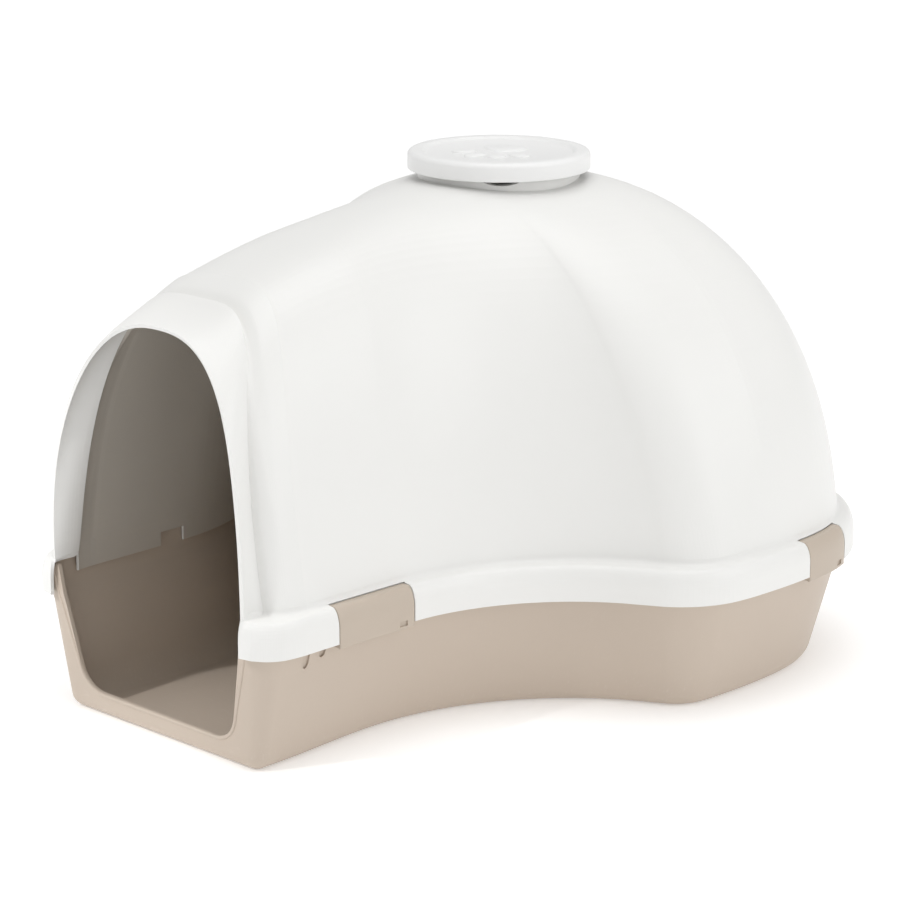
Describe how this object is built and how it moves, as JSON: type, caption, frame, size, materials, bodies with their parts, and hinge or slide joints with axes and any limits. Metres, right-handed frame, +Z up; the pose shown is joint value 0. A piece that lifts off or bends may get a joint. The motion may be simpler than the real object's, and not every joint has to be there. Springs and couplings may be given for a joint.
{
  "type": "cat litter box with hood",
  "caption": "Hooded cat litter box: taupe tub, white lift-off igloo hood with an arched entry tunnel, swing latches on the rim and a lift-off vent cap over an odour filter.",
  "frame": {"origin": "under the middle of the box, on the floor it stands on", "axes": "+Z up, -Y towards the entry, +Y towards the rear, X = 0 is the plane of symmetry"},
  "size_m": [0.5404, 0.5864, 0.3825],
  "materials": {
    "tub_plastic": "satin",
    "hood_plastic": "satin",
    "latch_plastic": "satin",
    "cap_plastic": "satin",
    "filter_felt": "felted"
  },
  "bodies": {
    "tub": {"tub": "tub_plastic"},
    "hood": {"hood": "hood_plastic"},
    "vent_cap": {"vent_cap": "cap_plastic", "filter_pad": "filter_felt"},
    "latch_front_right": {"latch_front_right": "latch_plastic"},
    "latch_front_left": {"latch_front_left": "latch_plastic"},
    "latch_rear_right": {"latch_rear_right": "latch_plastic"},
    "latch_rear_left": {"latch_rear_left": "latch_plastic"}
  },
  "joints": [
    {"name": "hood_lift", "type": "slide", "parent": "tub", "child": "hood", "axis": [0, 0, 1], "range_m": [0, 0.2]},
    {"name": "vent_cap_lift", "type": "slide", "parent": "hood", "child": "vent_cap", "axis": [0, 0, 1], "range_m": [0, 0.06]},
    {"name": "latch_front_right_hinge", "type": "hinge", "parent": "tub", "child": "latch_front_right", "pos_m": [0.12464, -0.18856, 0.0868], "axis": [0.0175, 0.9998, 0], "range_deg": [0, 90]},
    {"name": "latch_front_left_hinge", "type": "hinge", "parent": "tub", "child": "latch_front_left", "pos_m": [-0.12464, -0.18856, 0.0868], "axis": [0.0175, -0.9998, 0], "range_deg": [0, 90]},
    {"name": "latch_rear_right_hinge", "type": "hinge", "parent": "tub", "child": "latch_rear_right", "pos_m": [0.25892, 0.14929, 0.0868], "axis": [-0.1529, 0.9882, 0], "range_deg": [0, 90]},
    {"name": "latch_rear_left_hinge", "type": "hinge", "parent": "tub", "child": "latch_rear_left", "pos_m": [-0.25892, 0.14929, 0.0868], "axis": [-0.1529, -0.9882, 0], "range_deg": [0, 90]}
  ]
}
